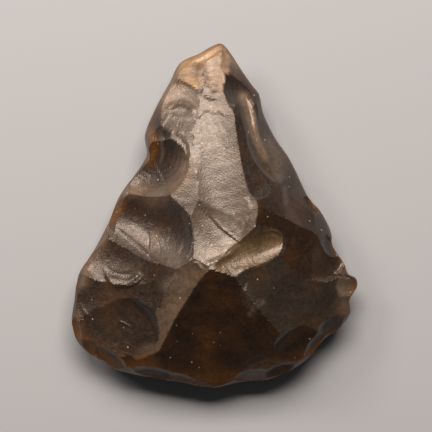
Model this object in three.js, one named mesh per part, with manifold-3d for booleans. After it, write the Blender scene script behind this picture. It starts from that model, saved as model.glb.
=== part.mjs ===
// Flint hand axe: one solid stone, flaked by hand over both faces to a point and a heavy round butt.
// Millimetres, +Z up. It lies on its flatter face with the tip toward +Y and the ridged face up.
// The axe is worked out as it was made: a lens-shaped blank, then one hollow cut for each flake.

import * as THREE from 'three';
import { mergeVertices } from 'three/addons/utils/BufferGeometryUtils.js';
import Module from 'manifold-3d';

// Driving dimensions
const LENGTH = 115; // from the round butt to the tip
const WIDTH = 95.5; // across the butt, the widest place
const THICKNESS = 31; // from the ground to the highest ridge

// Colour and finish of the stone
const STONE_COLOUR = 0x57463a;
const STONE_ROUGHNESS = 0.42;

// The drawing grid: x and y are hundredths of the length, z is hundredths of the thickness.
const OUTLINE = [
  [1.9, 50], [4.2, 47.8], [7.4, 42.9], [10.9, 37.9], [12.9, 35.3], [14.1, 29.8], [17.6, 22.5],
  [21.4, 17], [23.7, 12.6], [27.2, 5.4], [30.7, 1.3], [33.9, -5.1], [34.2, -8.6], [37.6, -14.1],
  [38.8, -17], [41.1, -18.2], [41.3, -20.8], [39.1, -24.6], [39.4, -28.1], [35.9, -33],
  [32.1, -35.6], [27.8, -40.8], [23.7, -44], [16.1, -47.5], [7.4, -48.4], [-0.4, -50],
  [-10, -48.4], [-17.9, -47.2], [-28.9, -44.6], [-31.3, -42.9], [-36.8, -39.7], [-40.3, -35.6],
  [-41.4, -31], [-40.6, -24.6], [-39.4, -17.3], [-34.7, -9.7], [-30.7, -1.9], [-27.5, 5.7],
  [-21.1, 14.7], [-19.6, 17.9], [-20.2, 23.1], [-17.3, 30.7], [-12.9, 38.8], [-10, 44.3],
  [-4.2, 47.2], [-0.7, 49.3],
];
const MIDDLE = [-2.8, -14.4]; // the thickest place, which the rings of the blank close in on

// The blank: how high its faces would stand, and how round they fall to the edge
const BLANK = { front: 118, back: -6, edge: 30, power: 1.8, round: 0.85 };
const EDGE_WAVE = { height: 2.2, turns: [7, 11], phase: 0.9 }; // the rise and fall of the cutting edge
const BLANK_SHARES = [0, 0.3, 0.55, 0.75, 0.88, 0.96]; // rings between the middle and the edge
const BLANK_AROUND = 2 * OUTLINE.length;

// The flake cutter: a dish with rings at these half widths, under a lid that clears the stone
// The outermost ring turns up by the lip, so that the dish ends in the stone around it.
const BIG_DISH = { rings: [0, 0.6, 1.2, 1.8], around: 16, lip: 22 };
const SMALL_DISH = { rings: [0, 0.8, 1.5], around: 9, lip: 2 };
const LID = { front: 140, back: -60 }; // the ground block goes as deep as the back lid
const GROUND_WIDTH = 200; // how wide that block is, in grid units

// Big flakes. Each ran from the place it was struck to where it came off, over a half width.
// hollow is the depth across, sag the depth along, lean the rise toward the left of the run.
const FRONT_FLAKES = {
  spine: { from: [-1.3, 32.1, 59], to: [7.4, -8.6, 86], half: 8.7, hollow: 7, sag: -4, lean: 1 },
  spineLeft: { from: [-5.7, 30.7, 64], to: [-5.7, -7.1, 91], half: 11.6, hollow: 2, sag: -2, lean: 17 },
  spineFoot: { from: [-0.5, 4.5, 84.5], to: [0.5, -14, 93], half: 7, hollow: 2, sag: 5, lean: -1.5 },
  tipMiddle: { from: [-1.9, 49, 36], to: [-0.7, 32, 62], half: 3.9, hollow: 5, sag: 2 },
  tipCrest: { from: [-4.6, 48.3, 30.5], to: [-3.4, 45.4, 35], half: 5, hollow: 1.5, lip: 8 },
  tipNick: { from: [5.3, 47.5, 33], to: [1.7, 42, 50], half: 2.4, hollow: 3, sag: 1.5 },
  tipFore: { from: [8.5, 40, 44], to: [3, 30, 68], half: 3.6, hollow: 3, sag: 1 },
  tipLeft: { from: [-10.6, 46.4, 32], to: [-4.2, 34.7, 58], half: 5.2, hollow: 3, sag: 2 },
  shoulderLeft: { from: [-17, 35, 34], to: [-3.4, 27.4, 67.5], half: 5.2, hollow: 2, sag: 2, lean: -3 },
  waistLeft: { from: [-20.5, 28.2, 41], to: [-11.2, 31.1, 68], half: 6, hollow: 3, sag: 1.5 },
  neckLeft: { from: [-24.5, 13.5, 33], to: [-7.5, 22.8, 78], half: 8.8, hollow: 15, sag: 7 },
  saddleLeft: { from: [-27.5, 5, 34], to: [-17, 5, 75], half: 7, hollow: 4 },
  bowlLeft: { from: [-29.8, 1.7, 33], to: [-4.8, -10.3, 94], half: 9.3, hollow: 13, sag: 10, lean: 2.5 },
  flankLeft: { from: [-35.6, -5, 33], to: [-11.4, -20, 86], half: 8.7, hollow: 7, sag: 3, lean: 10 },
  hipLeft: { from: [-40.8, -24.6, 36], to: [-18.2, -26.3, 69], half: 9.9, hollow: 4, sag: 2 },
  heelLeft: { from: [-37.6, -39.1, 38], to: [-19, -38.5, 57], half: 11, hollow: 3, sag: 1.5 },
  heelUnder: { from: [-22.8, -47.8, 36], to: [-18.8, -37.6, 60], half: 9.5, hollow: 3, sag: 1 },
  blade: { from: [-19.3, -39.7, 54], to: [-5.4, -16.4, 90], half: 5.8, hollow: 4, sag: -2, lean: -3 },
  lobe: { from: [21.9, -7.1, 70], to: [0.1, -13.5, 93], half: 6.4, hollow: 12, sag: 4 },
  butt: { from: [0.1, -51.3, 28.5], to: [-2.8, -17.3, 92], half: 17.4, hollow: 4, sag: -3 },
  heelRight: { from: [28.3, -44.3, 33], to: [20.5, -36.2, 54], half: 8, hollow: 3, sag: 2 },
  hipRight: { from: [39.4, -27.5, 33], to: [10.3, -17.3, 84], half: 17.4, hollow: 4, lean: 3 },
  lobeRight: { from: [41.9, -21.5, 29], to: [35, -21, 43], half: 5, hollow: 8, sag: 3 },
  flankRight: { from: [34.2, -3.6, 42], to: [10.3, 0.1, 92], half: 13.4, hollow: 3 },
  rimRightLow: { from: [36.5, -10.6, 33], to: [27, -8.6, 58], half: 6.5, hollow: 3, sag: 2 },
  rimRightHigh: { from: [29.5, 4.5, 34], to: [21.4, 0.1, 66], half: 7, hollow: 3, sag: 2 },
  shoulderRight: { from: [16, 29.5, 33], to: [10, 27, 54], half: 5, hollow: 4, sag: 1 },
  waistRight: { from: [24.6, 15.6, 28], to: [17.3, 6.8, 73], half: 6.4, hollow: 12 },
  notchRight: { from: [21.5, 21, 29], to: [13.5, 16, 60], half: 8, hollow: 3, sag: 1 },
  cheekRight: { from: [16.7, 30.1, 42], to: [8.9, 10.3, 81], half: 10.5, hollow: 3, lean: -15 },
  sliverRight: { from: [10, 36, 41], to: [14, 18.5, 63], half: 2.7, hollow: 6, sag: 2 },
  tipRight: { from: [12.6, 38.8, 32], to: [2.8, 40, 54], half: 5.2, hollow: 8, sag: 2 },
};
const BACK_FLAKES = {
  tip: { from: [3, 48, 31], to: [-1, 26, 12], half: 7, hollow: 4, sag: 2 },
  neckLeft: { from: [-18, 27, 29], to: [0, 21, 8], half: 10, hollow: 6, sag: 3 },
  neckRight: { from: [15, 30, 29], to: [3, 27, 12], half: 6, hollow: 4, sag: 2 },
  cheekRight: { from: [22, 16, 29], to: [4, 12, 5], half: 9, hollow: 5, sag: 3 },
  waistLeft: { from: [-27, 7, 28], to: [-6, 2, 2], half: 11, hollow: 5, sag: 3 },
  flankRight: { from: [33, -3, 28], to: [9, -2, 1], half: 10, hollow: 6, sag: 3 },
  flankLeft: { from: [-37, -13, 27], to: [-14, -15, 1], half: 9, hollow: 5, sag: 3 },
  lobeRight: { from: [40, -20, 27], to: [13, -16, 1], half: 9, hollow: 5, sag: 3 },
  hipLeft: { from: [-41, -30, 27], to: [-15, -25, 1], half: 10, hollow: 5, sag: 3 },
  hipRight: { from: [37, -32, 27], to: [12, -27, 1], half: 10, hollow: 5, sag: 3 },
  heelLeft: { from: [-27, -45, 27], to: [-12, -31, 1], half: 9, hollow: 5, sag: 3 },
  butt: { from: [-2, -50, 29], to: [1, -33, 4], half: 12, hollow: 5, sag: 3 },
  heelRight: { from: [25, -43, 29], to: [12, -32, 4], half: 8, hollow: 5, sag: 3 },
};

// Small flakes along the edge, in grid units: how many on each face and how big they run
const EDGE_FLAKES = {
  count: { front: 17, back: 24 },
  stretch: { front: [0.18, 0.78], back: [0, 1] }, // the part of the edge that they follow, from the tip round
  long: [1.8, 4.2],
  half: [2.4, 5],
  under: 0.3, // how far past the middle of the edge each one starts
  climb: [2.6, 4], // how steep it climbs
  hollow: 1.6,
  sag: 0.3,
};
const EDGE_SPREAD = [0.35, 0.95]; // where each one sits in its own stretch of the edge
const GOLDEN_SHARE = 0.618034;

const wasm = await Module();
wasm.setup();

// A value between low and high that differs from one index to the next
function varied(index, step, [low, high]) {
  const share = (index * step * GOLDEN_SHARE) % 1;
  return low + (high - low) * share;
}

// A solid spun from a profile of rings, each ring point then put in place by its own function
function spun(profile, around, place) {
  const rings = profile.map(([share]) => new THREE.Vector2(share, 0));
  const geometry = new THREE.LatheGeometry(rings, around);
  geometry.deleteAttribute('normal');
  geometry.deleteAttribute('uv');
  const { position } = geometry.attributes;
  for (let turn = 0; turn <= around; turn++) {
    profile.forEach((ring, index) => {
      const { x, y, z } = place((turn % around) / around, ring);
      position.setXYZ(turn * profile.length + index, x, y, z);
    });
  }
  return mergeVertices(geometry);
}

function toSolid(geometry) {
  return new wasm.Manifold(new wasm.Mesh({
    numProp: 3,
    vertProperties: new Float32Array(geometry.attributes.position.array),
    triVerts: new Uint32Array(geometry.index.array),
  }));
}

function toGeometry(solid) {
  const { vertProperties, triVerts } = solid.getMesh();
  const geometry = new THREE.BufferGeometry();
  geometry.setAttribute('position', new THREE.BufferAttribute(new Float32Array(vertProperties), 3));
  geometry.setIndex(new THREE.BufferAttribute(new Uint32Array(triVerts), 1));
  return geometry;
}

const middle = new THREE.Vector3(MIDDLE[0], MIDDLE[1], 0);
const outline = new THREE.CatmullRomCurve3(
  OUTLINE.map(([x, y]) => new THREE.Vector3(x, y, 0)),
  true,
  'centripetal',
);

function edgeHeight(turn) {
  const [slow, quick] = EDGE_WAVE.turns.map((times) => Math.sin(2 * Math.PI * times * turn + EDGE_WAVE.phase));
  return BLANK.edge + (EDGE_WAVE.height * (slow + quick)) / 2;
}

// The lens-shaped blank that every flake is cut from
function blank() {
  const rings = [
    ...BLANK_SHARES.map((share) => [share, BLANK.front]),
    [1, BLANK.front],
    ...[...BLANK_SHARES].reverse().map((share) => [share, BLANK.back]),
  ];
  const place = (turn, [share, crown]) => {
    const edge = edgeHeight(turn);
    const swell = (1 - share ** BLANK.power) ** BLANK.round;
    const point = outline.getPoint(turn).sub(middle).multiplyScalar(share).add(middle);
    return point.setZ(edge + (crown - edge) * swell);
  };
  return toSolid(spun(rings, BLANK_AROUND, place));
}

// The stone above one flake scar, or below it on the back
function flake(face, dish, { from, to, half, hollow, sag = 0, lean = 0, lip = dish.lip }) {
  const start = new THREE.Vector3(...from);
  const end = new THREE.Vector3(...to);
  const centre = start.clone().add(end).divideScalar(2);
  const run = end.clone().sub(start).divideScalar(2);
  const side = new THREE.Vector3(-run.y, run.x, 0).setLength(half).setZ(lean);
  const up = face === 'front' ? 1 : -1;
  const floor = dish.rings.map((radius) => [radius, 'floor']);
  const rings = [...floor, [dish.rings.at(-1), 'lid'], [0, 'lid']];
  const place = (turn, [radius, layer]) => {
    const angle = up * 2 * Math.PI * turn;
    const along = radius * Math.cos(angle);
    const across = radius * Math.sin(angle);
    const point = centre.clone().addScaledVector(run, along).addScaledVector(side, across);
    if (layer === 'lid') return point.setZ(LID[face]);
    const turnUp = radius === dish.rings.at(-1) ? lip : 0;
    point.z += up * (hollow * across ** 2 - sag * (1 - along ** 2) + turnUp);
    return point;
  };
  return toSolid(spun(rings, dish.around, place));
}

// One small flake struck square to the edge, a share of the way round it
function edgeFlake(face, index) {
  const { count, stretch, long, half, under, climb, hollow, sag } = EDGE_FLAKES;
  const up = face === 'front' ? 1 : -1;
  const [first, last] = stretch[face];
  const way = first + ((last - first) * (index + varied(index, 1, EDGE_SPREAD))) / count[face];
  const turn = outline.getUtoTmapping(way);
  const place = outline.getPoint(turn);
  const heading = outline.getTangent(turn);
  const inward = new THREE.Vector3(heading.y, -heading.x, 0);
  const start = place.clone().setZ(edgeHeight(turn) - up * under);
  const reach = varied(index, 2, long);
  const end = place.clone().addScaledVector(inward, reach);
  end.z = start.z + up * reach * varied(index, 3, climb);
  return flake(face, SMALL_DISH, {
    from: start.toArray(), to: end.toArray(), half: varied(index, 5, half), hollow, sag,
  });
}

function edgeFlakes(face) {
  return Array.from({ length: EDGE_FLAKES.count[face] }, (unused, index) => edgeFlake(face, index));
}

function groundBlock() {
  const geometry = new THREE.BoxGeometry(GROUND_WIDTH, GROUND_WIDTH, -LID.back);
  geometry.deleteAttribute('normal');
  geometry.deleteAttribute('uv');
  geometry.translate(0, 0, LID.back / 2);
  return toSolid(mergeVertices(geometry));
}

// Brings the flaked stone from the drawing grid to its real size, flat on the ground and centred
function toRealSize(geometry) {
  geometry.computeBoundingBox();
  const size = geometry.boundingBox.getSize(new THREE.Vector3());
  const centre = geometry.boundingBox.getCenter(new THREE.Vector3());
  geometry.translate(-centre.x, -centre.y, -geometry.boundingBox.min.z);
  geometry.scale(WIDTH / size.x, LENGTH / size.y, THICKNESS / size.z);
  return geometry;
}

function handAxe() {
  const cuts = [
    ...Object.values(FRONT_FLAKES).map((scar) => flake('front', BIG_DISH, scar)),
    ...Object.values(BACK_FLAKES).map((scar) => flake('back', BIG_DISH, scar)),
    ...edgeFlakes('front'),
    ...edgeFlakes('back'),
    groundBlock(),
  ];
  const stone = cuts.reduce((left, cut) => left.subtract(cut), blank());
  const material = new THREE.MeshStandardMaterial({
    color: STONE_COLOUR,
    roughness: STONE_ROUGHNESS,
    metalness: 0,
  });
  const mesh = new THREE.Mesh(toRealSize(toGeometry(stone)), material);
  mesh.name = 'hand_axe';
  return mesh;
}

const group = new THREE.Group();
group.add(handAxe());

export default group;
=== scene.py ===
"""A flint hand axe lying on a pale floor, seen from straight above.

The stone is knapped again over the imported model: a ball of small faces takes the shape of the blank, and
every flake scar is then the dish that the flake left, with its rings, streaks and unevenness. Metres, +Z up.
"""

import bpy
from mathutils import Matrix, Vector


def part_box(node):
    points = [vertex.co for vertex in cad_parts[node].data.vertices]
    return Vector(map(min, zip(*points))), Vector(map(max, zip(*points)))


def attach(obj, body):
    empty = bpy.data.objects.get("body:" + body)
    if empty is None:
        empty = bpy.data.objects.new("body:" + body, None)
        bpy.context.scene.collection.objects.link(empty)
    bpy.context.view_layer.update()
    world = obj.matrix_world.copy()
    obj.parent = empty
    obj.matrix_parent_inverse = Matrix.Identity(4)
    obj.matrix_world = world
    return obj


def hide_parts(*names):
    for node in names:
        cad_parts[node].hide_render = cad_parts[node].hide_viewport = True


bl_info = {
    "name": "Flint Hand Axe",
    "version": (1, 0, 0),
    "blender": (4, 5, 0),
    "location": "3D View > Sidebar > Hand Axe",
    "description": "Knaps a flint hand axe from its flake scars and lights it on a pale floor",
    "category": "Object",
}

import math

import bpy
import numpy as np
from bpy.props import FloatProperty, FloatVectorProperty, IntProperty, PointerProperty
from mathutils import Vector

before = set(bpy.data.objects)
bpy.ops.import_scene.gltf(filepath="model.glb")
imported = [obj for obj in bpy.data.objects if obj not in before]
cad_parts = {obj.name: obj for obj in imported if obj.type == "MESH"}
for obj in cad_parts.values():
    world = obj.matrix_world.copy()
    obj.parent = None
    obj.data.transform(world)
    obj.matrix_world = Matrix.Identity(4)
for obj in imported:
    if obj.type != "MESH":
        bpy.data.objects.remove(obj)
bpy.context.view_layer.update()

MM = 0.001
TAU = 2 * math.pi

# The drawing grid of the scars: x and y are hundredths of the length, z is hundredths of the thickness.
# The flaked stone stands this high on it, so that one step of height is a share of the real thickness.
TOP = 94.6
LOWEST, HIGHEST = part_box("hand_axe")
STEP = (HIGHEST.y - LOWEST.y) / 100
RISE = (HIGHEST.z - LOWEST.z) / TOP

OUTLINE = [
    (1.9, 50), (4.2, 47.8), (7.4, 42.9), (10.9, 37.9), (12.9, 35.3), (14.1, 29.8), (17.6, 22.5),
    (21.4, 17), (23.7, 12.6), (27.2, 5.4), (30.7, 1.3), (33.9, -5.1), (34.2, -8.6), (37.6, -14.1),
    (38.8, -17), (41.1, -18.2), (41.3, -20.8), (39.1, -24.6), (39.4, -28.1), (35.9, -33),
    (32.1, -35.6), (27.8, -40.8), (23.7, -44), (16.1, -47.5), (7.4, -48.4), (-0.4, -50),
    (-10, -48.4), (-17.9, -47.2), (-28.9, -44.6), (-31.3, -42.9), (-36.8, -39.7), (-40.3, -35.6),
    (-41.4, -31), (-40.6, -24.6), (-39.4, -17.3), (-34.7, -9.7), (-30.7, -1.9), (-27.5, 5.7),
    (-21.1, 14.7), (-19.6, 17.9), (-20.2, 23.1), (-17.3, 30.7), (-12.9, 38.8), (-10, 44.3),
    (-4.2, 47.2), (-0.7, 49.3),
]
MIDDLE = (-2.8, -14.4)  # the thickest place
OUTLINE_STEPS = 40  # points along each span of the outline

# The blank: how high each face would stand at the middle, and how it falls to the edge
CROWN = {"front": 118, "back": -6}
EDGE_HEIGHT = 30
EDGE_WAVE = 2.2
EDGE_TURNS = (7, 11)
EDGE_PHASE = 0.9
FALL_POWER = 1.8
FALL_ROUND = 0.85

# The flake scars, each from the place it was struck to where the flake came off, over a half width.
# hollow is the depth across, sag the depth along, lean the rise toward the left of the run, lip how far the
# rim of the dish turns up, tint the stone's colour there, and rings the spacing and depth of the ripples in
# millimetres, round ring_at or the place struck.
# Scars tinted bloom are pale partly from a bloom and partly from painted sheen, on facets that face the
# softbox.
FRONT_SCARS = {
    "spine": dict(
        start=(-1.3, 32.1, 59), end=(7.4, -8.6, 86), half=8.7, hollow=7, sag=-4, lean=1, tint="bloom",
    ),
    "spine_left": dict(
        start=(-5.7, 30.7, 64), end=(-5.7, -7.1, 91), half=11.6, hollow=2, sag=-2, lean=17, tint="bloom",
    ),
    "spine_foot": dict(
        start=(-0.5, 4.5, 84.5), end=(0.5, -14, 93), half=7, hollow=2, sag=5, lean=-1.5, tint="bloom",
    ),
    "tip_middle": dict(
        start=(-1.9, 49, 36), end=(-0.7, 32, 62), half=3.9, hollow=5, sag=2, tint="cream",
        rings=(2.4, 0.06),
    ),
    "tip_crest": dict(
        start=(-4.6, 48.3, 30.5), end=(-3.4, 45.4, 35), half=5, hollow=1.5, lip=8, tint="rind",
    ),
    "tip_nick": dict(start=(5.3, 47.5, 33), end=(1.7, 42, 50), half=2.4, hollow=3, sag=1.5, tint="cream"),
    "tip_fore": dict(start=(8.5, 40, 44), end=(3, 30, 68), half=3.6, hollow=3, sag=1, tint="slate"),
    "tip_left": dict(start=(-10.6, 46.4, 32), end=(-4.2, 34.7, 58), half=5.2, hollow=3, sag=2, tint="rind"),
    "shoulder_left": dict(
        start=(-17, 35, 34), end=(-3.4, 27.4, 67.5), half=5.2, hollow=2, sag=2, lean=-3, tint="bloom",
    ),
    "waist_left": dict(
        start=(-20.5, 28.2, 41), end=(-11.2, 31.1, 68), half=6, hollow=3, sag=1.5, tint="umber",
    ),
    "neck_left": dict(
        start=(-24.5, 13.5, 33), end=(-7.5, 22.8, 78), half=8.8, hollow=15, sag=7, tint="umber",
        ring_at=(-16.4, 17.6), rings=(1.7, 0.08),
    ),
    "saddle_left": dict(start=(-27.5, 5, 34), end=(-17, 5, 75), half=7, hollow=4, tint="umber"),
    "bowl_left": dict(
        start=(-29.8, 1.7, 33), end=(-4.8, -10.3, 94), half=9.3, hollow=13, sag=10, lean=2.5, tint="umber",
    ),
    "flank_left": dict(
        start=(-35.6, -5, 33), end=(-11.4, -20, 86), half=8.7, hollow=7, sag=3, lean=10, tint="brown",
        rings=(3, 0.05),
    ),
    "hip_left": dict(
        start=(-40.8, -24.6, 36), end=(-18.2, -26.3, 69), half=9.9, hollow=4, sag=2, tint="umber",
    ),
    "heel_left": dict(
        start=(-37.6, -39.1, 38), end=(-19, -38.5, 57), half=11, hollow=3, sag=1.5, tint="umber",
    ),
    "heel_under": dict(
        start=(-22.8, -47.8, 36), end=(-18.8, -37.6, 60), half=9.5, hollow=3, sag=1, tint="brown",
    ),
    "blade": dict(
        start=(-19.3, -39.7, 54), end=(-5.4, -16.4, 90), half=5.8, hollow=4, sag=-2, lean=-3, tint="tan",
    ),
    "lobe": dict(
        start=(21.9, -7.1, 70), end=(0.1, -13.5, 93), half=6.4, hollow=12, sag=4, tint="ochre",
        rings=(1.8, 0.03),
    ),
    "butt": dict(
        start=(0.1, -51.3, 28.5), end=(-2.8, -17.3, 92), half=17.4, hollow=4, sag=-3, tint="brown",
    ),
    "heel_right": dict(
        start=(28.3, -44.3, 33), end=(20.5, -36.2, 54), half=8, hollow=3, sag=2, tint="brown",
    ),
    "hip_right": dict(
        start=(39.4, -27.5, 33), end=(10.3, -17.3, 84), half=17.4, hollow=4, lean=3, tint="slate",
    ),
    "lobe_right": dict(start=(41.9, -21.5, 29), end=(35, -21, 43), half=5, hollow=8, sag=3, tint="tan"),
    "flank_right": dict(start=(34.2, -3.6, 42), end=(10.3, 0.1, 92), half=13.4, hollow=3, tint="brown"),
    "rim_right_low": dict(
        start=(36.5, -10.6, 33), end=(27, -8.6, 58), half=6.5, hollow=3, sag=2, tint="umber",
    ),
    "rim_right_high": dict(
        start=(29.5, 4.5, 34), end=(21.4, 0.1, 66), half=7, hollow=3, sag=2, tint="brown",
    ),
    "shoulder_right": dict(start=(16, 29.5, 33), end=(10, 27, 54), half=5, hollow=4, sag=1, tint="umber"),
    "waist_right": dict(start=(24.6, 15.6, 28), end=(17.3, 6.8, 73), half=6.4, hollow=12, tint="umber"),
    "notch_right": dict(start=(21.5, 21, 29), end=(13.5, 16, 60), half=8, hollow=3, sag=1, tint="slate"),
    "cheek_right": dict(
        start=(16.7, 30.1, 42), end=(8.9, 10.3, 81), half=10.5, hollow=3, lean=-15, tint="umber",
    ),
    "sliver_right": dict(start=(10, 36, 41), end=(14, 18.5, 63), half=2.7, hollow=6, sag=2, tint="umber"),
    "tip_right": dict(start=(12.6, 38.8, 32), end=(2.8, 40, 54), half=5.2, hollow=8, sag=2, tint="umber"),
}
BACK_SCARS = {
    "tip": dict(start=(3, 48, 31), end=(-1, 26, 12), half=7, hollow=4, sag=2, tint="cream"),
    "neck_left": dict(start=(-18, 27, 29), end=(0, 21, 8), half=10, hollow=6, sag=3, tint="bloom"),
    "neck_right": dict(start=(15, 30, 29), end=(3, 27, 12), half=6, hollow=4, sag=2, tint="umber"),
    "cheek_right": dict(start=(22, 16, 29), end=(4, 12, 5), half=9, hollow=5, sag=3, tint="brown"),
    "waist_left": dict(start=(-27, 7, 28), end=(-6, 2, 2), half=11, hollow=5, sag=3, tint="umber"),
    "flank_right": dict(start=(33, -3, 28), end=(9, -2, 1), half=10, hollow=6, sag=3, tint="umber"),
    "flank_left": dict(start=(-37, -13, 27), end=(-14, -15, 1), half=9, hollow=5, sag=3, tint="slate"),
    "lobe_right": dict(start=(40, -20, 27), end=(13, -16, 1), half=9, hollow=5, sag=3, tint="brown"),
    "hip_left": dict(start=(-41, -30, 27), end=(-15, -25, 1), half=10, hollow=5, sag=3, tint="brown"),
    "hip_right": dict(start=(37, -32, 27), end=(12, -27, 1), half=10, hollow=5, sag=3, tint="slate"),
    "heel_left": dict(start=(-27, -45, 27), end=(-12, -31, 1), half=9, hollow=5, sag=3, tint="umber"),
    "butt": dict(start=(-2, -50, 29), end=(1, -33, 4), half=12, hollow=5, sag=3, tint="brown"),
    "heel_right": dict(start=(25, -43, 29), end=(12, -32, 4), half=8, hollow=5, sag=3, tint="brown"),
}
BIG_REACH = 1.8  # how far a big dish reaches, in half widths
SMALL_REACH = 1.5
LIP = 0.55  # the last part of that reach, where the dish turns up to meet what is round it
BIG_LIP = 22
SMALL_LIP = 2

# Fine relief is drawn where it shows in a straight-down picture, in the picture's pixels: the middle, and how
# many pixels one step of the grid spans there
PICTURE_MIDDLE = (214.5, 215.5)
PICTURE_STEP = 3.44
# Ridges stand above the scar along a path, valleys below it: width and rise in millimetres, then the path.
RIDGES = {
    "hook_outer": (
        0.9, 0.8,
        [(166, 112), (170, 108), (176, 105), (183, 104), (189, 107), (193, 111), (190, 115), (185, 117)],
    ),
    "hook_inner": (0.6, 0.35, [(171, 113), (175, 117), (180, 119), (184, 117)]),
    "hook_stem": (0.6, 0.35, [(164, 124), (167, 118), (170, 113)]),
    "finger_a": (0.55, 0.35, [(165, 128), (169, 131), (173, 136)]),
    "finger_b": (0.6, 0.4, [(170, 124), (175, 129), (179, 136)]),
    "finger_c": (0.6, 0.35, [(176, 121), (181, 126), (183, 133)]),
    "neck_rim": (0.5, 0.4, [(161, 137), (163, 145), (163.5, 155), (161, 163)]),
    "neck_a": (0.45, 0.2, [(176, 139), (179, 148), (180, 158), (178, 168)]),
    "neck_b": (0.45, 0.25, [(181, 140), (184, 150), (184.5, 160), (182, 170), (176, 178)]),
    "neck_valley": (0.5, -0.35, [(178, 137), (183, 142), (186.5, 150), (187.5, 160), (185.5, 170)]),
    "neck_c": (0.5, 0.25, [(186, 134), (189.5, 147), (190.5, 158), (188, 168), (184, 174)]),
    "neck_fold": (0.5, -0.22, [(190, 120), (193, 130), (195, 142), (195.5, 155), (197, 168)]),
    "tip_ring_a": (
        0.5, 0.38,
        [(195, 62), (197, 72), (200, 82), (203, 92), (208, 98), (214, 99), (219, 96)],
    ),
    "tip_ring_b": (0.45, 0.3, [(200, 63), (202, 72), (205, 82), (209, 90), (214, 94), (219, 92)]),
    "tip_ring_c": (0.4, 0.22, [(204, 66), (206, 74), (210, 82), (216, 87)]),
    "spine_crest": (0.8, 0.4, [(246, 198), (248.5, 208), (248, 216), (245, 225), (242, 234)]),
    "crack_lip": (0.4, 0.2, [(212, 217), (220, 226), (230, 234), (240, 242)]),
    "foot_swoosh": (0.9, 0.5, [(204, 264), (213, 261), (222, 257), (230, 253), (236, 247)]),
    "knot": (0.6, 0.5, [(193, 263), (197, 262), (200, 265), (204, 271)]),
    "lobe_ring_a": (0.5, 0.25, [(262, 232), (272, 230), (280, 234), (284, 242), (282, 250)]),
    "lobe_ring_b": (0.45, 0.12, [(264, 238), (272, 236), (278, 240), (278, 247)]),
    "lobe_foot": (0.4, 0.15, [(226, 269), (240, 267.5), (255, 267), (264, 265)]),
    "bowl_curl": (0.6, 0.35, [(183, 211), (188, 220), (190.5, 230), (191.5, 240), (190, 250), (186, 259)]),
    "bowl_valley": (0.7, -0.25, [(180, 214), (184, 224), (186, 236), (184.5, 246), (180, 255)]),
    "bowl_crack_a": (0.35, -0.22, [(148, 232), (150, 240), (149, 248), (152, 256)]),
    "bowl_crack_b": (0.35, -0.18, [(170, 222), (171, 232), (169, 242)]),
    "bowl_crack_c": (0.3, -0.15, [(158, 240), (161, 249), (160, 257)]),
    "bowl_lip": (0.5, 0.35, [(114, 226), (126, 235), (140, 246), (152, 258), (165, 265), (178, 269)]),
    "bowl_chip": (0.7, 0.45, [(152, 262), (157, 261), (162, 264)]),
    "flank_ring_a": (0.7, 0.4, [(104, 266), (110, 276), (121, 280), (133, 279), (142, 272)]),
    "flank_ring_b": (0.6, 0.3, [(106, 274), (114, 282), (124, 284), (136, 281)]),
    "flank_valley": (0.6, -0.2, [(106, 264), (112, 271), (122, 274), (134, 272)]),
    "hip_smear": (0.5, -0.2, [(247, 300), (253, 308), (262, 312)]),
    "hip_patch_a": (0.4, 0.14, [(247, 285), (243, 295), (246, 305), (253, 311)]),
    "hip_patch_b": (0.5, 0.16, [(262, 296), (255, 303), (251, 312)]),
    "hip_line": (0.5, 0.1, [(262, 268), (278, 285), (292, 303), (306, 318)]),
    "butt_line": (0.6, 0.16, [(208, 282), (228, 306), (250, 332), (276, 360)]),
    "butt_ring_a": (0.5, 0.12, [(236, 372), (246, 362), (258, 356), (270, 354)]),
    "butt_ring_b": (0.5, 0.12, [(246, 374), (254, 366), (264, 361), (276, 360)]),
    "hip_crack_a": (0.4, 0.2, [(119, 320), (126, 323), (133, 327)]),
    "hip_crack_b": (0.4, 0.2, [(80, 303), (85, 311), (93, 318)]),
    "blade_ridge": (0.45, 0.18, [(155, 293), (157, 305), (158, 318), (157, 329)]),
    "hip_sliver": (0.5, 0.25, [(243, 293), (246, 286), (248, 281)]),
    "flank_thread": (0.4, 0.1, [(287, 203), (295, 207), (305, 212)]),
    "sliver_edge": (0.55, 0.5, [(247, 97), (253, 112), (255, 128), (258, 142), (266, 158)]),
    "sliver_back": (0.5, 0.25, [(239, 98), (244, 114), (248, 130), (253, 144), (262, 158)]),
    "notch_thread": (0.5, 0.35, [(262, 157), (270, 170), (279, 184)]),
}
# Steps drop the stone on the left of their path: the drop and the distance that it runs out over, in
# millimetres, then the path.
STEPS = {
    "crack": (0.6, 5, [(240, 243), (230, 235.5), (220, 227.5), (212, 219), (205, 211), (198, 201)]),
    "spine_head": (
        -0.3, 4,
        [
            (190, 117), (198, 119), (200, 118), (205, 112), (209, 112), (213, 115), (218, 113), (224, 116),
            (234, 118),
        ],
    ),
    "lobe_foot": (-0.7, 4, [(264, 266), (272, 260), (280, 254), (285, 246)]),
    "flank_foot": (-0.5, 5, [(105, 277), (114, 285), (126, 287), (139, 282), (145, 275)]),
}
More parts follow.
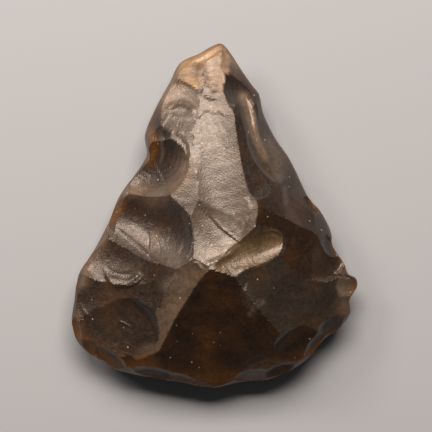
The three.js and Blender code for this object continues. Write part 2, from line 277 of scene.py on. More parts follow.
# Soft pools of another tint: width in millimetres, the tint, its share from 0 to 1, then the path.
# Pools of bloom are partly bloom and partly painted sheen, on ridge tops and facets that face the light.
POOLS = {
    "tip_top": (2, "cream", 0.9, [(193, 66), (202, 65), (212, 60)]),
    # Painted shade: dark lines along the lower side of each ripple near the tip.
    "tip_ripple_a": (
        0.5, "umber", 0.85,
        [(194, 62), (196, 73), (199, 84), (203, 94), (208, 100), (214, 100)],
    ),
    "tip_ripple_b": (0.5, "umber", 0.8, [(198, 64), (201, 75), (205, 85), (210, 92), (216, 93)]),
    "tip_ripple_c": (0.45, "umber", 0.7, [(203, 66), (206, 76), (211, 84), (217, 87)]),
    "tip_left": (4, "cream", 0.85, [(168, 98), (178, 78), (186, 66)]),
    "tip_crest": (2.4, "rind", 0.9, [(182, 62), (200, 55), (221, 46)]),
    "tip_right": (2.5, "cream", 0.7, [(224, 50), (236, 64)]),
    "notch": (2.3, "bloom", 0.8, [(266, 142), (275, 158), (279, 176)]),
    "sliver": (1.5, "cream", 0.85, [(243, 97), (247, 108), (251, 122), (255, 138), (264, 157)]),
    "sliver_edge": (0.5, "cream", 0.9, [(249, 102), (254, 116), (256, 132), (260, 146), (266, 158)]),
    "waist_rim": (1.8, "amber", 0.8, [(151, 132), (154, 148), (149, 162)]),
    "saddle_rim": (2.2, "cream", 0.6, [(128, 192), (138, 191)]),
    "bowl_rim": (2, "amber", 0.7, [(120, 204), (113, 220)]),
    "flank_rim": (1.8, "cream", 0.5, [(108, 232), (98, 250), (88, 268), (84, 283)]),
    "heel_rim": (2.2, "amber", 0.6, [(74, 318), (84, 340), (104, 354)]),
    "butt_rim": (
        3, "amber", 0.55,
        [(112, 361), (150, 371), (200, 379), (250, 375), (300, 362), (326, 342)],
    ),
    "right_lobe": (2.6, "tan", 0.7, [(344, 272), (350, 290), (344, 308)]),
    "bowl_floor": (4, "bloom", 0.7, [(135, 236), (160, 246), (176, 258)]),
    "finger_a": (0.5, "bloom", 0.5, [(165, 128), (169, 131), (173, 136)]),
    "finger_b": (0.6, "bloom", 0.5, [(170, 124), (175, 129), (179, 136)]),
    "finger_c": (0.5, "bloom", 0.5, [(176, 121), (181, 126), (183, 133)]),
    "neck_rim": (0.5, "bloom", 0.5, [(161, 137), (163, 145), (163.5, 155), (161, 163)]),
    "blade_top": (1.6, "bloom", 0.6, [(164, 286), (174, 279), (183, 272)]),
    # Painted highlights: the wedge and the foot are lightened where they catch the light.
    "wedge": (3, "cream", 0.45, [(153, 198), (168, 192), (182, 178), (189, 160)]),
    "foot": (2.6, "cream", 0.35, [(206, 256), (222, 250), (234, 244)]),
    "lobe_heart": (2.4, "ochre", 0.8, [(236, 259), (262, 257)]),
    "flank_lobe": (3, "bloom", 0.4, [(106, 262), (122, 268), (136, 266)]),
    "hip_smear": (0.9, "bloom", 0.8, [(250, 312), (255, 306), (262, 300)]),
    "hip_patch": (1.6, "bloom", 0.35, [(246, 288), (250, 302)]),
    "butt_warm_a": (3.5, "amber", 0.35, [(206, 335), (210, 362)]),
    "butt_warm_b": (3, "amber", 0.6, [(132, 366), (146, 360)]),
    "butt_grey": (3, "bloom", 0.3, [(252, 366), (268, 366)]),
    "flank_smear": (0.9, "bloom", 0.6, [(284, 188), (285, 203)]),
}
PATH_STEPS = 6  # points along each span of a path

# Small flakes along the edge: how many on each face, which part of the edge they follow, from the tip round,
# and how big they run
EDGE_COUNT = {"front": 17, "back": 24}
EDGE_STRETCH = {"front": (0.18, 0.78), "back": (0, 1)}
EDGE_LONG = (1.8, 4.2)
EDGE_HALF = (2.4, 5)
EDGE_UNDER = 0.3  # how far past the middle of the edge each one starts
EDGE_CLIMB = (2.6, 4)  # how steep it climbs
EDGE_HOLLOW = 1.6
EDGE_SAG = 0.3
EDGE_SPREAD = (0.35, 0.95)  # where each one sits in its own stretch of the edge
GOLDEN_SHARE = 0.618034

# The unevenness of a scar's floor, coarse to fine: wave length and depth in millimetres, and how many waves
FLOOR_WAVES = ((13, 0.1, 6), (4.2, 0.022, 7), (1.6, 0.009, 7))
WAVE_SPREAD = (0.75, 1.35)  # the waves of one kind are this much quicker or slower
USUAL_TINT = "umber"
USUAL_RINGS = (3.2, 0.022)
RING_WOBBLE = 0.9  # how far the rings wander, in radians of their own wave
# How deep the rings are halfway along the run, what its end adds to that, and the least, as shares
RING_GROWTH = (0.55, 0.45, 0.1)
STREAKS = (23, 0.018)  # how many streaks fan out from the blow in a whole turn, and how deep in millimetres
STREAKS_FULL = 10  # how far from the blow they reach that depth, in steps of the grid
RELIEF_REACH = 3  # how far a ridge or a pool reaches, in its widths
RIDGE_ENDS, STEP_ENDS = 4, 5  # ridges fade out over a quarter of their path at each end, steps over a fifth
STEP_WIDTH = 0.7  # how wide the face of a step is, in millimetres
REST_HOLLOW = 1.2  # how deep the hollows under the stone are, in steps of height
REST_PACE = 0.35  # radians of their wave in one step of the grid

# How the points of the mesh are placed
CHANCE = {"front": 3, "back": 8}  # what the random unevenness of each face starts from
RIDGE_TRIES = 3  # how many times a point is moved toward its ridge
RIDGE_INSIDE = 0.985  # points nearer the edge than this share of the way stay where they are
SLOPE_STEP = 0.02  # how far apart two heights are taken for a slope, in steps of the grid
LEAST_SLOPE = 1e-9  # squared, so that level ground doesn't divide by nothing
SEARCH_FROM = 0.8  # the share of the way out where the search for the real edge starts
SEARCH_STEPS, SEARCH_HALVINGS = 81, 12
EDGE_DIRECTIONS = 2401  # how many directions it is searched in
RIM_HEIGHT = 1e-5  # points of the ball this near its middle plane make the cutting edge

# The flint: sizes of its patterns in millimetres
NOISE_RANGE = (0.3, 0.7)  # most of a noise lies between these
CLOUD_SIZE = 11
MOTTLE_SIZE = 1.4
DEPTHS_SIZE = 8
SPECK_CELL = 3.6
SHEEN_SIZE = 1.2
GRAIN_SIZE = 0.6
GRAIN_DEPTH = 0.11
FLINT_IOR = 1.54

# The studio, in metres
FLOOR_SIZE = 6
LIGHT_AWAY = 0.9
KEY_TURN = math.radians(90)
KEY_SIZE = (0.8, 0.42)
SIDE_TILT = math.radians(58)
SIDE_TURN = math.radians(140)
SIDE_SIZE = (0.3, 0.2)
FILL_COLOUR = (1, 0.86, 0.74, 1)
CAMERA_PLACE = (0.5 * MM, -0.17 * MM)
CAMERA_NEAR = 0.01


def linear(colour):
    """The linear red, green and blue of a colour written as sRGB hex."""
    parts = (int(colour[i : i + 2], 16) / 255 for i in (1, 3, 5))
    return tuple(c / 12.92 if c <= 0.04045 else ((c + 0.055) / 1.055) ** 2.4 for c in parts)


def colour_property(name, description, colour):
    """A colour that can be changed in the panel, with its default written as sRGB hex."""
    return FloatVectorProperty(
        name=name, description=description, subtype="COLOR", size=3, min=0, max=1, default=linear(colour)
    )


class HandAxeStone(bpy.types.PropertyGroup):
    """How finely the stone is made, and how deep its relief is."""

    cells: IntProperty(
        name="Cells",
        description="Faces along one side of the ball that the stone is made from",
        default=126,
        min=16,
    )
    relief: FloatProperty(
        name="Relief",
        description="Depth of the rings and unevenness, 1 as in life",
        default=1,
    )
    ridge_share: FloatProperty(
        name="Ridge reach",
        description="How far a point may move to sit on a ridge, in widths of a face",
        subtype="FACTOR",
        default=0.5,
    )
    amber_from: FloatProperty(
        name="Amber from",
        description="Thickness of stone where light starts to pass",
        unit="LENGTH",
        default=2.2 * MM,
    )
    crease: FloatProperty(
        name="Crease",
        description="Ridges steeper than this stay sharp",
        subtype="ANGLE",
        default=math.radians(24),
    )


class HandAxeColours(bpy.types.PropertyGroup):
    """The colours of the flint, from its dark heart to its pale skin."""

    brown: colour_property("Brown", "Deep brown flint at the butt and the right side", "#26190f")
    umber: colour_property("Umber", "Grey-brown flint of the steep scars", "#261d17")
    slate: colour_property("Slate", "Grey, faintly violet flint of the hips", "#2b2520")
    # Partly painted sheen: this pale tint stands for the bloom of old scars and for the satin sheen of facets
    # that face the softbox.
    bloom: colour_property("Bloom", "Pale bloom of the old scars on the spine", "#524b45")
    tan: colour_property("Tan", "Tan flint of the blade and the edges", "#574b40")
    ochre: colour_property("Ochre", "Yellow-brown flint of the small lobe", "#544632")
    cream: colour_property("Cream", "Cream flint near the tip", "#756454")
    rind: colour_property("Rind", "Orange-cream skin at the very tip", "#8f7454")
    amber: colour_property("Amber", "Light coming through the thin edge", "#5c3c18")
    speck: colour_property("Speck", "Small white specks in the dark flint", "#b7aca2")


class HandAxeStudio(bpy.types.PropertyGroup):
    """The floor, the lights and the camera."""

    floor: colour_property("Floor", "Pale floor", "#a3adb9")
    key_colour: colour_property("Key colour", "Colour of the large softbox", "#ffe8d4")
    key_power: FloatProperty(
        name="Key power",
        description="Power of the large softbox",
        unit="POWER",
        default=14,
    )
    key_tilt: FloatProperty(
        name="Key tilt",
        description="Angle of the softbox from overhead",
        subtype="ANGLE",
        default=math.radians(38),
    )
    side_power: FloatProperty(
        name="Side power",
        description="Power of the low side light",
        unit="POWER",
        default=3.6,
    )
    fill: FloatProperty(
        name="Fill",
        description="Strength of the light from all round",
        default=0.05,
    )
    camera_height: FloatProperty(
        name="Camera height",
        description="Height of the camera above the edge",
        unit="LENGTH",
        default=1.0,
    )
    view_width: FloatProperty(
        name="View width",
        description="Width of the picture at the stone's edge",
        unit="LENGTH",
        default=144.4 * MM,
    )


def spline(before, here, after, later, steps):
    """Points along the spans from here to after of a smooth curve through all four rows of points."""
    pairs = ((before, here), (here, after), (after, later))
    gaps = [np.linalg.norm(b - a, axis=1, keepdims=True) ** 0.5 for a, b in pairs]
    leave = (here - before) / gaps[0] - (after - before) / (gaps[0] + gaps[1]) + (after - here) / gaps[1]
    arrive = (after - here) / gaps[1] - (later - here) / (gaps[1] + gaps[2]) + (later - after) / gaps[2]
    t = (np.arange(steps) / steps)[None, :, None]
    here, after, leave, arrive = (p[:, None, :] for p in (here, after, leave * gaps[1], arrive * gaps[1]))
    square = -3 * here + 3 * after - 2 * leave - arrive
    cube = 2 * here - 2 * after + leave + arrive
    return (here + leave * t + square * t**2 + cube * t**3).reshape(-1, 2)


def closed_curve(points, steps):
    """A smooth curve through the points and back to the first."""
    points = np.array(points, float)
    return spline(np.roll(points, 1, 0), points, np.roll(points, -1, 0), np.roll(points, -2, 0), steps)


def open_curve(points, steps):
    """A smooth curve through the points, from the first to the last."""
    points = np.array(points, float)
    longer = np.vstack([2 * points[0] - points[1], points, 2 * points[-1] - points[-2]])
    return np.vstack([spline(longer[:-3], longer[1:-2], longer[2:-1], longer[3:], steps), points[-1]])


def edge_height(turn):
    """The height of the cutting edge, a share of the way round."""
    slow, quick = (np.sin(TAU * times * turn + EDGE_PHASE) for times in EDGE_TURNS)
    return EDGE_HEIGHT + EDGE_WAVE * (slow + quick) / 2


CURVE = closed_curve(OUTLINE, OUTLINE_STEPS)
CURVE_TURN = np.arange(len(CURVE)) / len(CURVE)
CURVE_ANGLE = np.arctan2(CURVE[:, 1] - MIDDLE[1], CURVE[:, 0] - MIDDLE[0])
CURVE_RADIUS = np.hypot(CURVE[:, 0] - MIDDLE[0], CURVE[:, 1] - MIDDLE[1])
CURVE_NEXT = np.roll(CURVE, -1, 0)
PLAN_AREA = abs(np.sum(CURVE[:, 0] * CURVE_NEXT[:, 1] - CURVE[:, 1] * CURVE_NEXT[:, 0])) / 2


def edge_at(angle):
    """How far the edge is from the middle in a direction, and how high it is there."""
    radius = np.interp(angle, CURVE_ANGLE, CURVE_RADIUS, period=TAU)
    return radius, np.interp(angle, CURVE_ANGLE, edge_height(CURVE_TURN), period=TAU)


def varied(index, step, low_high):
    """A value between low and high that differs from one index to the next."""
    low, high = low_high
    return low + (high - low) * ((index * step * GOLDEN_SHARE) % 1)


def edge_scars(face):
    """The small scars along the edge, each struck square to it."""
    up = 1 if face == "front" else -1
    strides = np.linalg.norm(CURVE_NEXT - CURVE, axis=1)
    walked = np.concatenate([[0], np.cumsum(strides)])
    scars = {}
    first, last = EDGE_STRETCH[face]
    for index in range(EDGE_COUNT[face]):
        along = (last - first) * (index + varied(index, 1, EDGE_SPREAD)) / EDGE_COUNT[face]
        way = walked[-1] * (first + along)
        at = np.searchsorted(walked, way, side="right") - 1
        heading = (CURVE_NEXT[at] - CURVE[at]) / strides[at]
        place = CURVE[at] + heading * (way - walked[at])
        turn = (at + (way - walked[at]) / strides[at]) / len(CURVE)
        reach = varied(index, 2, EDGE_LONG)
        low = edge_height(turn) - up * EDGE_UNDER
        high = low + up * reach * varied(index, 3, EDGE_CLIMB)
        inward = np.array([heading[1], -heading[0]])
        scars[f"edge_{index}"] = dict(
            start=(*place, low),
            end=(*(place + inward * reach), high),
            half=varied(index, 5, EDGE_HALF),
            hollow=EDGE_HOLLOW,
            sag=EDGE_SAG,
            small=True,
        )
    return scars


class Path:
    """A smooth path on the drawing grid, drawn by the picture points that it passes."""

    def __init__(self, points):
        seen = (np.array(points, float) - PICTURE_MIDDLE) / PICTURE_STEP * (1, -1)
        self.points = open_curve(seen, PATH_STEPS)

    def near(self, x, y, reach):
        """Which places lie within reach, how far off they are, plus to the left, and how far along."""
        low, high = self.points.min(0) - reach, self.points.max(0) + reach
        chosen = np.flatnonzero((x > low[0]) & (x < high[0]) & (y > low[1]) & (y < high[1]))
        x, y = x[chosen], y[chosen]
        best, side, along = (np.full(x.shape, value) for value in (np.inf, 1.0, 0.0))
        spans = len(self.points) - 1
        for index in range(spans):
            a, b = self.points[index], self.points[index + 1]
            stride = b - a
            t = np.clip(((x - a[0]) * stride[0] + (y - a[1]) * stride[1]) / (stride @ stride), 0, 1)
            off_x, off_y = x - a[0] - t * stride[0], y - a[1] - t * stride[1]
            away = np.hypot(off_x, off_y)
            closer = away < best
            best = np.where(closer, away, best)
            side = np.where(closer, np.sign(stride[0] * off_y - stride[1] * off_x), side)
            along = np.where(closer, (index + t) / spans, along)
        return chosen, best * side, along


def faded(along, ends):
    """How strong a relief is along its path: it fades out over one part in so many at each end."""
    return (np.clip(ends * along, 0, 1) * np.clip(ends * (1 - along), 0, 1)) ** 0.5


def fine_relief(x, y):
    """What the ridges and steps add to the height of the front at each place."""
    added = np.zeros(x.shape)
    for wide, rise, path in RIDGES.values():
        width = wide * MM / STEP
        chosen, away, along = Path(path).near(x, y, RELIEF_REACH * width)
        added[chosen] += rise * MM / RISE * np.exp(-((away / width) ** 2)) * faded(along, RIDGE_ENDS)
    sharp = STEP_WIDTH * MM / STEP
    for drop, runs_out, path in STEPS.values():
        over = runs_out * MM / STEP
        chosen, away, along = Path(path).near(x, y, over)
        over_edge = np.clip(away / sharp + 0.5, 0, 1) * np.clip(1 - away / over, 0, 1) ** 2
        added[chosen] -= drop * MM / RISE * over_edge * faded(along, STEP_ENDS)
    return added


def pooled(tints, x, y, colours):
    """The tints with the soft pools of other colours laid over them."""
    for wide, tint, most, path in POOLS.values():
        width = wide * MM / STEP
        chosen, away, _ = Path(path).near(x, y, RELIEF_REACH * width)
        share = (most * np.exp(-((away / width) ** 2)))[:, None]
        tints[chosen] = tints[chosen] * (1 - share) + np.array(getattr(colours, tint)) * share
    return tints


class Blank:
    """The lens-shaped stone before any flake came off, on one face."""

    def __init__(self, face):
        self.crown = CROWN[face]
        self.tint = "brown"

    def covers(self, x, y):
        return np.ones(x.shape, bool)

    def floor(self, x, y):
        angle = np.arctan2(y - MIDDLE[1], x - MIDDLE[0])
        radius, edge = edge_at(angle)
        share = np.clip(np.hypot(x - MIDDLE[0], y - MIDDLE[1]) / radius, 0, 1)
        return edge + (self.crown - edge) * (1 - share**FALL_POWER) ** FALL_ROUND


class Scar:
    """The hollow that one flake left: a shallow dish along the run of the blow, ringed and uneven."""

    def __init__(self, face, shape, chance, relief):
        start, end = np.array(shape["start"], float), np.array(shape["end"], float)
        self.up = 1 if face == "front" else -1
        self.middle = (start + end) / 2
        self.half_run = np.hypot(*(end - start)[:2]) / 2
        self.run = (end - start)[:2] / 2 / self.half_run
        self.climb = (end - start)[2] / 2
        self.half = shape["half"]
        self.hollow, self.sag, self.lean = shape["hollow"], shape.get("sag", 0), shape.get("lean", 0)
        self.reach, usual_lip = (SMALL_REACH, SMALL_LIP) if shape.get("small") else (BIG_REACH, BIG_LIP)
        self.lip_rise = shape.get("lip", usual_lip)
        self.tint = shape.get("tint", USUAL_TINT)
        self.relief = relief
        self.struck = np.array(shape.get("ring_at", start[:2]), float)
        self.ring_gap, self.ring_depth = shape.get("rings", USUAL_RINGS)
        self.waves = []
        for length, depth, count in FLOOR_WAVES:
            turn, phase = chance.uniform(0, TAU, (2, count))
            pace = TAU / (length * MM / STEP * chance.uniform(*WAVE_SPREAD, count))
            self.waves.append((np.cos(turn) * pace, np.sin(turn) * pace, phase, depth * MM / RISE))
        self.phases = chance.uniform(0, TAU, 4)

    def place(self, x, y):
        """How far along the run, in half lengths, and how far to its left, in half widths."""
        dx, dy = x - self.middle[0], y - self.middle[1]
        along = (dx * self.run[0] + dy * self.run[1]) / self.half_run
        return along, (dy * self.run[0] - dx * self.run[1]) / self.half

    def covers(self, x, y):
        return np.hypot(*self.place(x, y)) <= self.reach

    def floor(self, x, y):
        along, across = self.place(x, y)
        dish = self.hollow * across**2 - self.sag * (1 - along**2)
        lip = np.clip((np.hypot(along, across) - self.reach + LIP) / LIP, 0, 1)
        dish += self.lip_rise * lip**2
        height = self.middle[2] + along * self.climb + across * self.lean + self.up * dish
        return height + self.relief * (self.uneven(x, y) + self.rings(x, y, along))

    def uneven(self, x, y):
        rise = np.zeros(x.shape)
        for pace_x, pace_y, phase, depth in self.waves:
            for a, b, c in zip(pace_x, pace_y, phase):
                rise += np.sin(x * a + y * b + c) * (depth / len(phase) ** 0.5)
        return rise

    def rings(self, x, y, along):
        dx, dy = x - self.struck[0], y - self.struck[1]
        away, turn = np.hypot(dx, dy), np.arctan2(dy, dx)
        slow, quick, ring_phase, streak_phase = self.phases
        wander = RING_WOBBLE * (np.sin(2 * turn + slow) + np.sin(5 * turn + quick)) / 2
        wave = np.sin(away * TAU / (self.ring_gap * MM / STEP) + wander + ring_phase)
        halfway, more, least = RING_GROWTH
        grown = np.clip(halfway + more * along, least, 1)
        count, depth = STREAKS
        streak = np.sin(turn * count + streak_phase) * depth * np.clip(away / STREAKS_FULL, 0, 1)
        return (wave * grown * self.ring_depth + streak) * MM / RISE


def resting(x, y):
    """The height of the flatter spot that the stone lies on, which touches the floor in a few places."""
    waves = (np.sin(x * REST_PACE + y * REST_PACE / 2), np.sin(y * REST_PACE - x * REST_PACE / 3))
    return REST_HOLLOW * (2 + waves[0] + waves[1]) / 4


class Face:
    """All the scars of one face of the stone, and the surface that they leave together."""

    def __init__(self, face, scars, relief):
        chance = np.random.default_rng(CHANCE[face])
        self.up = 1 if face == "front" else -1
        shapes = {**scars, **edge_scars(face)}
        self.parts = [Blank(face), *(Scar(face, shape, chance, relief) for shape in shapes.values())]

    def deepest_two(self, x, y):
        """Which scar cut deepest at each place, and which came next."""
        best = np.full((2, x.size), np.inf)
        which = np.zeros((2, x.size), int)
        for number, part in enumerate(self.parts):
            inside = np.flatnonzero(part.covers(x, y))
            depth = self.up * part.floor(x[inside], y[inside])
            first = depth < best[0, inside]
            second = ~first & (depth < best[1, inside])
            pushed = inside[first]
            best[1, pushed], which[1, pushed] = best[0, pushed], which[0, pushed]
            best[0, pushed], which[0, pushed] = depth[first], number
            placed = inside[second]
            best[1, placed], which[1, placed] = depth[second], number
        return which

    def height(self, which, x, y):
        """The floor of the scar with that number at each place."""
        z = np.zeros(x.size)
        for number in np.unique(which):
            there = which == number
            z[there] = self.parts[number].floor(x[there], y[there])
        return z

    def tints(self, which, colours):
        """The colour of the scar with that number at each place."""
        table = np.array([getattr(colours, part.tint) for part in self.parts])
        return table[which]

    def surface(self, x, y):
        z = self.height(self.deepest_two(x, y)[0], x, y)
        return z if self.up > 0 else np.maximum(z, resting(x, y))

    def to_ridge(self, x, y, most):
        """Moves each place within reach of a ridge onto it, so that ridges run along edges of the mesh."""
        first, second = self.deepest_two(x, y)

        def gap(at_x, at_y):
            return self.height(second, at_x, at_y) - self.height(first, at_x, at_y)

        at_x, at_y = x, y
        for _ in range(RIDGE_TRIES):
            here = gap(at_x, at_y)
            slope_x = (gap(at_x + SLOPE_STEP, at_y) - here) / SLOPE_STEP
            slope_y = (gap(at_x, at_y + SLOPE_STEP) - here) / SLOPE_STEP
            steep = np.maximum(slope_x**2 + slope_y**2, LEAST_SLOPE)
            at_x, at_y = at_x - here * slope_x / steep, at_y - here * slope_y / steep
        close = (np.hypot(at_x - x, at_y - y) < most) & (first != second)
        return np.where(close, at_x, x), np.where(close, at_y, y), np.where(close, second, first)


def real_edge(front, back, angles):
    """The last share of the way to the drawn outline where stone is left between the faces, at each angle."""
    radius = edge_at(angles)[0]

    def thick(share):
        x = MIDDLE[0] + np.cos(angles) * radius * share
        y = MIDDLE[1] + np.sin(angles) * radius * share
        return front.surface(x, y) - back.surface(x, y)

    low = np.full(angles.shape, SEARCH_FROM)
    high = np.full(angles.shape, 1.0)
    for share in np.linspace(SEARCH_FROM, 1, SEARCH_STEPS):
        left = thick(np.full(angles.shape, share)) > 0
        ends = (high == 1) & ~left
        high = np.where(ends, share, high)
        low = np.where(~ends & (high == 1), share, low)
    for _ in range(SEARCH_HALVINGS):
        share = (low + high) / 2
        left = thick(share) > 0
        low, high = np.where(left, share, low), np.where(left, high, share)
    return low


def stone_ball(cells):
    """A ball of square faces, made as by hand from a cube, with a row of points round its middle."""
    bpy.ops.object.select_all(action="DESELECT")
    bpy.ops.mesh.primitive_cube_add(size=2)
    bpy.ops.object.mode_set(mode="EDIT")
    bpy.ops.mesh.subdivide(number_cuts=cells // 2 - 1)
    bpy.ops.mesh.subdivide(number_cuts=1)
    bpy.ops.transform.tosphere(value=1)
    bpy.ops.object.mode_set(mode="OBJECT")
    return bpy.context.object


def points_of(mesh):
    """The places of all points of a mesh."""
    places = np.zeros(len(mesh.vertices) * 3, np.float32)
    mesh.vertices.foreach_get("co", places)
    return places.reshape(-1, 3).astype(float)


def knapped(ball, stone, colours):
    """Places every point of the ball on the flaked stone. Returns its places and what the colours need."""
    front = Face("front", FRONT_SCARS, stone.relief)
    back = Face("back", BACK_SCARS, stone.relief)
    round_places = points_of(ball.data)
    round_places /= np.linalg.norm(round_places, axis=1, keepdims=True)
    angle = np.arctan2(round_places[:, 1], round_places[:, 0])
    rim = np.abs(round_places[:, 2]) < RIM_HEIGHT
    share = np.sqrt(2) * np.sin(np.arccos(np.clip(np.abs(round_places[:, 2]), 0, 1)) / 2)
    table = np.linspace(-math.pi, math.pi, EDGE_DIRECTIONS)
    edge_share = np.interp(angle, table, real_edge(front, back, table))
    radius = edge_at(angle)[0] * edge_share * np.where(rim, 1, share)
    x = MIDDLE[0] + np.cos(angle) * radius
    y = MIDDLE[1] + np.sin(angle) * radius
    z = np.zeros(x.size)
    tints = np.zeros((x.size, 3))
    width = np.sqrt(PLAN_AREA / (len(ball.data.polygons) / 2))
    for face, side in ((front, round_places[:, 2] > 0), (back, round_places[:, 2] < 0)):
        inner = np.flatnonzero(side & ~rim & (share < RIDGE_INSIDE))
        x[inner], y[inner], beside = face.to_ridge(x[inner], y[inner], width * stone.ridge_share)
        both = np.flatnonzero(side | rim) if face is front else np.flatnonzero(side)
        first = face.deepest_two(x[both], y[both])[0]
        z[both] = face.surface(x[both], y[both])
        tints[both] = face.tints(first, colours)
        tints[inner] = (tints[inner] + face.tints(beside, colours)) / 2
        if face is front:
            z[inner] += fine_relief(x[inner], y[inner])
            tints[both] = pooled(tints[both], x[both], y[both], colours)
    z[rim] = (z[rim] + back.surface(x[rim], y[rim])) / 2
    thick = np.maximum(front.surface(x, y) - back.surface(x, y), 0) * RISE
    return np.column_stack([x, y, z]), tints, thick, front, back


def split_faces(ball, places, front, back):
    """Splits each square face along the diagonal that lies closer to the stone, to keep ridges unbroken."""
    mesh = ball.data
    corners = np.zeros(len(mesh.loops), np.int32)
    mesh.loops.foreach_get("vertex_index", corners)
    corners = corners.reshape(-1, 4)
    x, y = places[corners].mean(1)[:, :2].T
    upward = points_of(mesh)[corners, 2].mean(1) > 0
    wanted = np.where(upward, front.surface(x, y), back.surface(x, y))
    one = np.abs(places[corners[:, [0, 2]], 2].mean(1) - wanted)
    other = np.abs(places[corners[:, [1, 3]], 2].mean(1) - wanted)
    bpy.ops.object.mode_set(mode="EDIT")
    bpy.ops.mesh.select_all(action="DESELECT")
    bpy.ops.object.mode_set(mode="OBJECT")
    mesh.polygons.foreach_set("select", one <= other)
    bpy.ops.object.mode_set(mode="EDIT")
    bpy.ops.mesh.quads_convert_to_tris(quad_method="FIXED")
    bpy.ops.mesh.select_all(action="SELECT")
    bpy.ops.mesh.quads_convert_to_tris(quad_method="FIXED_ALTERNATE")
    bpy.ops.object.mode_set(mode="OBJECT")


def fit_to_box(places):
    """Brings the places from the drawing grid to real size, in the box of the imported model."""
    low, high = places.min(0), places.max(0)
    size = np.array(HIGHEST) - np.array(LOWEST)
    return (places - low) / (high - low) * size + np.array(LOWEST)


def paint(mesh, tints, thick, amber_from):
    """Writes each scar's tint and the thinness of the edge on the points of the mesh."""
    layer = mesh.color_attributes.new(name="tint", type="FLOAT_COLOR", domain="POINT")
    layer.data.foreach_set("color", np.column_stack([tints, np.ones(len(tints))]).ravel().astype(np.float32))
    thin = mesh.attributes.new(name="thin", type="FLOAT", domain="POINT")
    thin.data.foreach_set("value", np.clip(1 - thick / amber_from, 0, 1).astype(np.float32))


def add(tree, kind, inputs=None, **settings):
    """Adds one node: settings are its own properties, inputs are values or the outputs that feed it."""
    made = tree.nodes.new(kind)
    for name, value in settings.items():
        setattr(made, name, value)
    for name, value in (inputs or {}).items():
        if isinstance(value, bpy.types.NodeSocket):
            tree.links.new(value, made.inputs[name])
        else:
            made.inputs[name].default_value = value
    return made


def noise(tree, place, size, detail, roughness=0.5):
    """An uneven pattern with lumps of a size in millimetres."""
    inputs = {"Vector": place, "Scale": 1 / (size * MM), "Detail": detail, "Roughness": roughness}
    return add(tree, "ShaderNodeTexNoise", inputs).outputs["Fac"]


def ranged(tree, value, given, wanted=(0, 1)):
    """Brings a value from one range to another."""
    inputs = dict(zip(("From Min", "From Max", "To Min", "To Max"), given + wanted))
    return add(tree, "ShaderNodeMapRange", {"Value": value, **inputs}).outputs["Result"]


def times(tree, one, other):
    """Two values multiplied."""
    return add(tree, "ShaderNodeMath", {0: one, 1: other}, operation="MULTIPLY").outputs["Value"]


def mixed(tree, share, colour, other):
    """A colour with a share of another one in it."""
    inputs = {"Factor": share, "A": colour, "B": (*other, 1)}
    return add(tree, "ShaderNodeMix", inputs, data_type="RGBA").outputs["Result"]


def flint(colours):
    """Flint, knapped: a glassy, very fine-grained stone with a satin break, so each scar has one soft sheen.

    Its heart is dark and a little see-through, so thin edges glow amber, and it holds pale clouds and specks.
    """
    material = bpy.data.materials.new("flint")
    material.use_nodes = True
    tree = material.node_tree
    tree.nodes.clear()
    place = add(tree, "ShaderNodeTexCoord").outputs["Object"]
    tint = add(tree, "ShaderNodeAttribute", attribute_name="tint").outputs["Color"]
    thin = add(tree, "ShaderNodeAttribute", attribute_name="thin").outputs["Fac"]

    clouded = ranged(tree, noise(tree, place, CLOUD_SIZE, 3), NOISE_RANGE, (0.72, 1.3))
    mottled = ranged(tree, noise(tree, place, MOTTLE_SIZE, 5, 0.65), NOISE_RANGE, (0.7, 1.34))
    shade = times(tree, clouded, mottled)
    body = add(tree, "ShaderNodeVectorMath", {0: tint, "Scale": shade}, operation="SCALE").outputs["Vector"]

    # Light comes through the thin edge, and from some way into the clearer parts of the stone.
    inputs = {"Vector": place, "Scale": 1 / (DEPTHS_SIZE * MM), "Detail": 4, "W": 3}
    depths = add(tree, "ShaderNodeTexNoise", inputs, noise_dimensions="4D").outputs["Fac"]
    warm = ranged(tree, depths, (0.48, 0.75), (0, 0.3))
    thinned = times(tree, thin, 0.8)
    glow = add(tree, "ShaderNodeMath", {0: thinned, 1: warm}, operation="MAXIMUM").outputs["Value"]
    edged = mixed(tree, glow, body, colours.amber)

    # One small white speck in the middle of some cells
    cells = add(tree, "ShaderNodeTexVoronoi", {"Vector": place, "Scale": 1 / (SPECK_CELL * MM)})
    dot = ranged(tree, cells.outputs["Distance"], (0.04, 0.1), (0.8, 0))
    chosen = add(tree, "ShaderNodeSeparateColor", {"Color": cells.outputs["Color"]}).outputs["Red"]
    speck = times(tree, dot, ranged(tree, chosen, (0.3, 0.7)))
    speckled = mixed(tree, speck, edged, colours.speck)

    rough = ranged(tree, noise(tree, place, SHEEN_SIZE, 4, 0.65), NOISE_RANGE, (0.25, 0.46))
    # The real grain is finer than a hair, so it is drawn half a millimetre wide, as coarse as it has to be.
    grain = noise(tree, place, GRAIN_SIZE, 3)
    inputs = {"Height": grain, "Distance": GRAIN_DEPTH * MM, "Strength": 1}
    bump = add(tree, "ShaderNodeBump", inputs).outputs["Normal"]
    inputs = {"Base Color": speckled, "Roughness": rough, "Normal": bump}
    shader = add(tree, "ShaderNodeBsdfPrincipled", {**inputs, "IOR": FLINT_IOR, "Specular IOR Level": 0.65})
    add(tree, "ShaderNodeOutputMaterial", {"Surface": shader.outputs["BSDF"]})
    return material


def floor_material(studio):
    """Matt paper: a pale, even sheet that takes soft shadows and no shine."""
    material = bpy.data.materials.new("matt_paper")
    material.use_nodes = True
    tree = material.node_tree
    tree.nodes.clear()
    shader = add(tree, "ShaderNodeBsdfPrincipled", {"Base Color": (*studio.floor, 1), "Roughness": 0.9})
    add(tree, "ShaderNodeOutputMaterial", {"Surface": shader.outputs["BSDF"]})
    return material


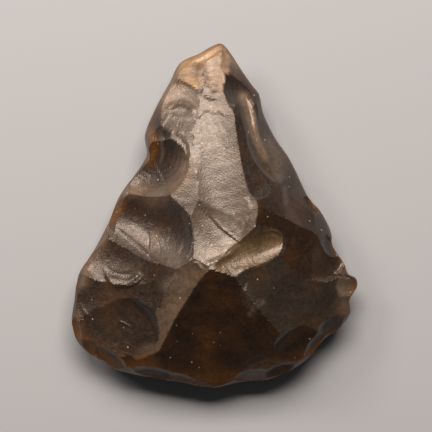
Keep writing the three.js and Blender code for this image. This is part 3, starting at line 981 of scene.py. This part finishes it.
def softbox(name, tilt, turn, size, power, colour):
    """Hangs a soft light that faces the stone, tilted from overhead toward a direction on the floor."""
    aim = Vector((math.sin(tilt) * math.cos(turn), math.sin(tilt) * math.sin(turn), math.cos(tilt)))
    facing = aim.to_track_quat("Z", "Y").to_euler()
    bpy.ops.object.light_add(type="AREA", location=aim * LIGHT_AWAY, rotation=facing)
    light = bpy.context.object
    light.name = name
    light.data.shape = "RECTANGLE"
    light.data.size, light.data.size_y = size
    light.data.energy = power
    light.data.color = colour


class OBJECT_OT_knap_hand_axe(bpy.types.Operator):
    """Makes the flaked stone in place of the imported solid"""

    bl_idname = "object.knap_hand_axe"
    bl_label = "Knap the hand axe"

    def execute(self, context):
        scene = context.scene
        stone, colours = scene.hand_axe_stone, scene.hand_axe_colours
        ball = stone_ball(stone.cells)
        ball.name = "hand_axe_flint"
        places, tints, thick, front, back = knapped(ball, stone, colours)
        split_faces(ball, places, front, back)
        mesh = ball.data
        mesh.vertices.foreach_set("co", fit_to_box(places).ravel().astype(np.float32))
        mesh.update()
        paint(mesh, tints, thick, stone.amber_from)
        bpy.ops.object.shade_smooth_by_angle(angle=stone.crease)
        mesh.materials.append(flint(colours))
        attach(ball, "root")
        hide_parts("hand_axe")
        return {"FINISHED"}


class SCENE_OT_light_hand_axe(bpy.types.Operator):
    """Lays the pale floor and sets the softbox, the fill and the camera overhead"""

    bl_idname = "scene.light_hand_axe"
    bl_label = "Light the hand axe"

    def execute(self, context):
        scene = context.scene
        studio = scene.hand_axe_studio
        bpy.ops.object.select_all(action="DESELECT")
        bpy.ops.mesh.primitive_plane_add(size=FLOOR_SIZE)
        floor = context.object
        floor.name = "floor"
        floor.data.materials.append(floor_material(studio))

        softbox("softbox", studio.key_tilt, KEY_TURN, KEY_SIZE, studio.key_power, studio.key_colour)
        softbox("side_light", SIDE_TILT, SIDE_TURN, SIDE_SIZE, studio.side_power, studio.key_colour)

        world = bpy.data.worlds.new("studio")
        world.use_nodes = True
        sky = world.node_tree.nodes["Background"].inputs
        sky["Color"].default_value = FILL_COLOUR
        sky["Strength"].default_value = studio.fill
        scene.world = world

        bpy.ops.object.camera_add(location=(*CAMERA_PLACE, studio.camera_height + EDGE_HEIGHT * RISE))
        camera = context.object
        camera.data.lens = camera.data.sensor_width * studio.camera_height / studio.view_width
        camera.data.clip_start = CAMERA_NEAR
        scene.camera = camera
        scene.view_settings.view_transform = "Standard"
        return {"FINISHED"}


class VIEW3D_PT_hand_axe(bpy.types.Panel):
    """Lists the steps and what can be changed in them"""

    bl_space_type = "VIEW_3D"
    bl_region_type = "UI"
    bl_category = "Hand Axe"
    bl_label = "Flint Hand Axe"

    def draw(self, context):
        groups = (
            (context.scene.hand_axe_stone, OBJECT_OT_knap_hand_axe.bl_idname),
            (context.scene.hand_axe_colours, None),
            (context.scene.hand_axe_studio, SCENE_OT_light_hand_axe.bl_idname),
        )
        for group, operator in groups:
            box = self.layout.box()
            for name in group.__annotations__:
                box.prop(group, name)
            if operator:
                box.operator(operator)


CLASSES = (
    HandAxeStone,
    HandAxeColours,
    HandAxeStudio,
    OBJECT_OT_knap_hand_axe,
    SCENE_OT_light_hand_axe,
    VIEW3D_PT_hand_axe,
)


def register():
    for made in CLASSES:
        bpy.utils.register_class(made)
    bpy.types.Scene.hand_axe_stone = PointerProperty(type=HandAxeStone)
    bpy.types.Scene.hand_axe_colours = PointerProperty(type=HandAxeColours)
    bpy.types.Scene.hand_axe_studio = PointerProperty(type=HandAxeStudio)


def unregister():
    del bpy.types.Scene.hand_axe_stone
    del bpy.types.Scene.hand_axe_colours
    del bpy.types.Scene.hand_axe_studio
    for made in reversed(CLASSES):
        bpy.utils.unregister_class(made)


def main():
    register()
    bpy.ops.object.knap_hand_axe()
    bpy.ops.scene.light_hand_axe()


if __name__ == "__main__":
    main()
